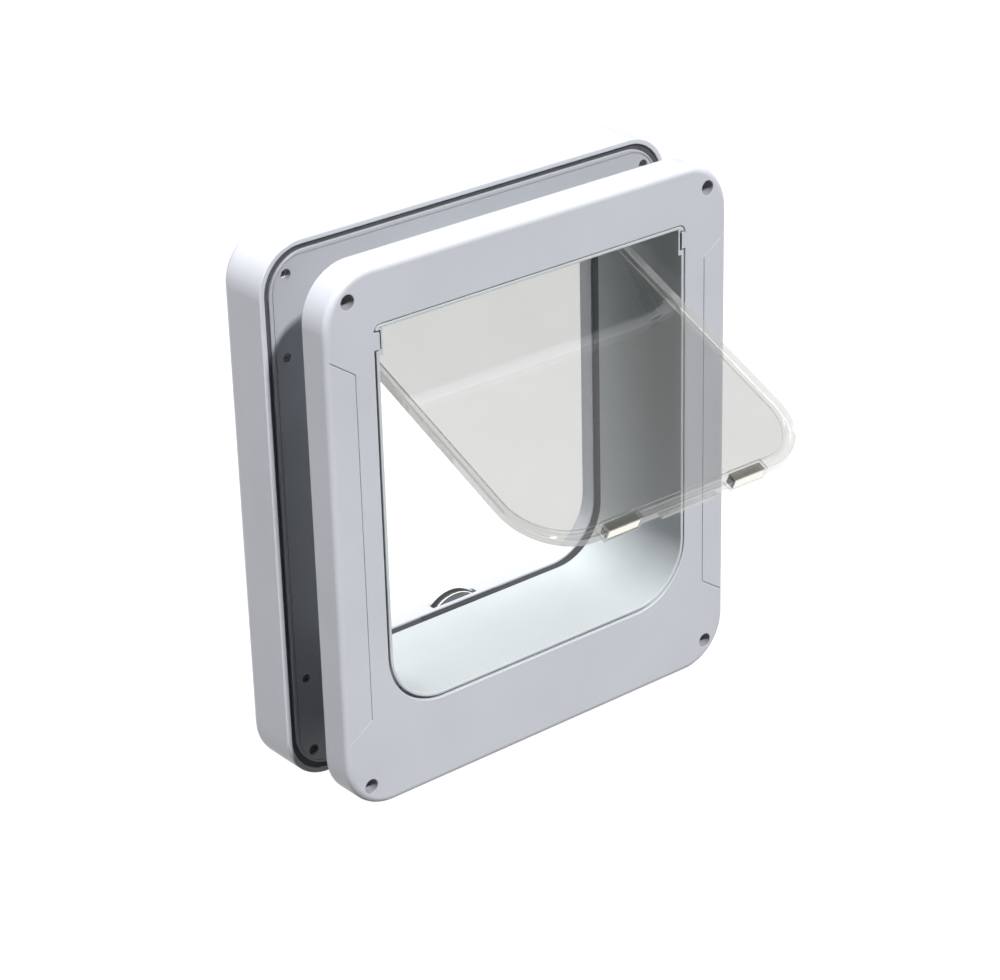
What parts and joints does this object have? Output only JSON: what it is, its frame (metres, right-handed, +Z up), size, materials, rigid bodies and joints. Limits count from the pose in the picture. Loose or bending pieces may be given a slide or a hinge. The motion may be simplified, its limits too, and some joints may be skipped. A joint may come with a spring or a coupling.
{
  "type": "smart pet door",
  "caption": "Framed door flap for pets: outdoor trim frame and deep indoor unit joined by a tunnel, with a clear swinging flap, lifting latches and a lock dial at the sill.",
  "frame": {"origin": "middle of the four fixing holes, on the outdoor face of the front frame", "axes": "+X right and +Z up as seen from outdoors, +Y into the house; -Y points outdoors"},
  "size_m": [0.2276, 0.1673, 0.2556],
  "materials": {
    "white_shell": "fine satin moulded",
    "white_sleeve": "satin moulded",
    "dark_rubber": "matte",
    "dark_plastic": "satin moulded",
    "dial_black": "gloss moulded",
    "clear_plastic": "clear polished",
    "bright_bar": "polished nickel plate",
    "pin_steel": "ground",
    "bush_plastic": "acetal",
    "screw_steel": "zinc plated",
    "spring_steel": "drawn wire",
    "solenoid_body": "zinc plated yoke",
    "board_green": "solder mask",
    "copper_winding": "enamelled copper",
    "grey_button": "satin moulded",
    "lamp_clear": "clear moulded",
    "box_grey": "moulded",
    "cell_sleeve": "plain printed sleeve"
  },
  "bodies": {
    "frame": {"front_frame": "white_shell", "backing_plate": "white_shell", "rear_shell": "white_shell", "tunnel_sleeve": "white_sleeve", "draught_seal": "dark_rubber", "perimeter_seal": "dark_rubber", "latch_guide": "dark_plastic", "dial_retainer": "dark_plastic", "hinge_bush_left": "bush_plastic", "hinge_bush_right": "bush_plastic", "plate_screws": "screw_steel", "retainer_screws": "screw_steel", "board_screws": "screw_steel", "return_spring_out": "spring_steel", "return_spring_in": "spring_steel", "battery_contacts": "spring_steel", "solenoid_out": "solenoid_body", "solenoid_in": "solenoid_body", "control_board": "board_green", "antenna_coil": "copper_winding", "light_pipe": "lamp_clear", "battery_box_left": "box_grey", "battery_box_right": "box_grey", "battery_cells": "cell_sleeve"},
    "flap": {"flap_panel": "clear_plastic", "magnet_bar_left": "bright_bar", "magnet_bar_right": "bright_bar", "hinge_pin_left": "pin_steel", "hinge_pin_right": "pin_steel"},
    "latch_out": {"latch_blade_out": "dark_plastic", "plunger_out": "pin_steel"},
    "latch_in": {"latch_blade_in": "dark_plastic", "plunger_in": "pin_steel"},
    "dial": {"lock_dial": "dial_black", "mode_magnet": "bright_bar"},
    "button": {"pair_button": "grey_button"},
    "cover_left": {"battery_cover_left": "white_shell"},
    "cover_right": {"battery_cover_right": "white_shell"}
  },
  "joints": [
    {"name": "flap_swing", "type": "hinge", "parent": "frame", "child": "flap", "pos_m": [0, 0.0594, 0.0964], "axis": [-1, 0, 0], "range_deg": [-140, 10]},
    {"name": "latch_out_lift", "type": "slide", "parent": "frame", "child": "latch_out", "axis": [0, 0, 1], "range_m": [0, 0.008], "stiffness_N_per_m": 120, "springref_m": -0.003, "deforming": ["return_spring_out"]},
    {"name": "latch_in_lift", "type": "slide", "parent": "frame", "child": "latch_in", "axis": [0, 0, 1], "range_m": [0, 0.008], "stiffness_N_per_m": 120, "springref_m": -0.003, "deforming": ["return_spring_in"]},
    {"name": "dial_turn", "type": "hinge", "parent": "frame", "child": "dial", "pos_m": [0, 0.0661, -0.0958], "axis": [0, 1, 0], "range_deg": [0, 270]},
    {"name": "button_press", "type": "slide", "parent": "frame", "child": "button", "axis": [0, -1, 0], "range_m": [0, 0.001], "stiffness_N_per_m": 400, "springref_m": -0.0005},
    {"name": "cover_left_lift", "type": "slide", "parent": "frame", "child": "cover_left", "axis": [0, 1, 0], "range_m": [0, 0.012]},
    {"name": "cover_right_lift", "type": "slide", "parent": "frame", "child": "cover_right", "axis": [0, 1, 0], "range_m": [0, 0.012]}
  ]
}
